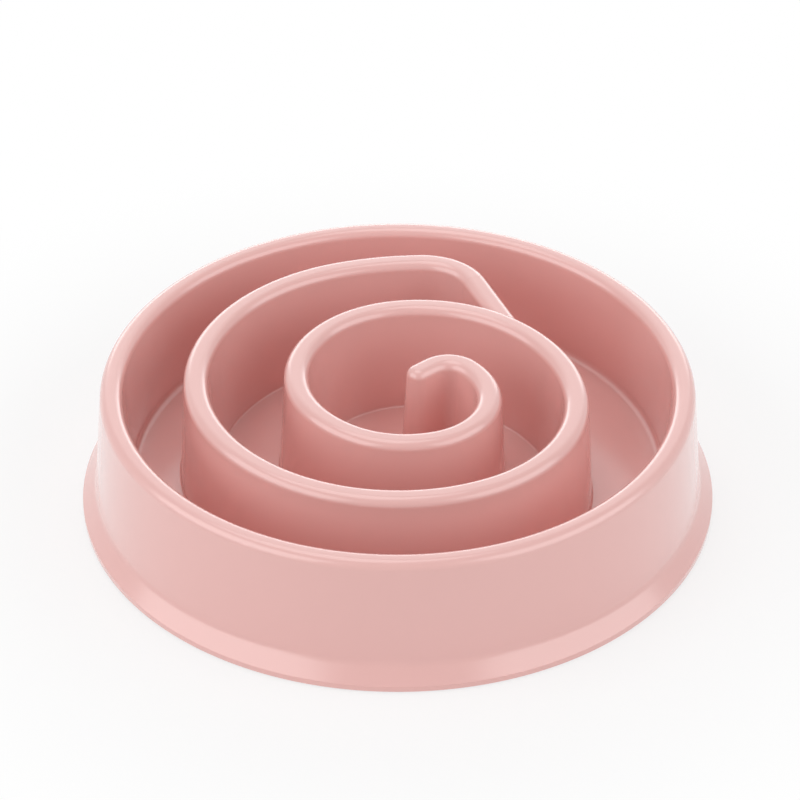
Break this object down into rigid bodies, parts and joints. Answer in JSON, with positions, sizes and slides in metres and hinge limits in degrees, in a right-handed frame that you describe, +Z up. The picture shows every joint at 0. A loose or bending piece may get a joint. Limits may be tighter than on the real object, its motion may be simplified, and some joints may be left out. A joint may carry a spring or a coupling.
{
  "type": "slow feeder bowl",
  "caption": "Round one-piece moulded pet bowl with a flared skirt and a spiral wall standing on its floor, on small rubber pads.",
  "frame": {"origin": "middle of the plane that the rubber pads stand on, on the bowl's axis", "axes": "+Z up along the bowl's axis, -Y towards the viewer, +X to the viewer's right; the spiral's squared outer corner is at the back"},
  "size_m": [0.23, 0.23, 0.0523],
  "materials": {
    "bowl_plastic": "satin gloss, pale pink",
    "pad_rubber": "matt, warm grey"
  },
  "bodies": {
    "root": {"bowl": "bowl_plastic", "pad_front_left": "pad_rubber", "pad_front_right": "pad_rubber", "pad_back_right": "pad_rubber", "pad_back_left": "pad_rubber"}
  },
  "joints": []
}
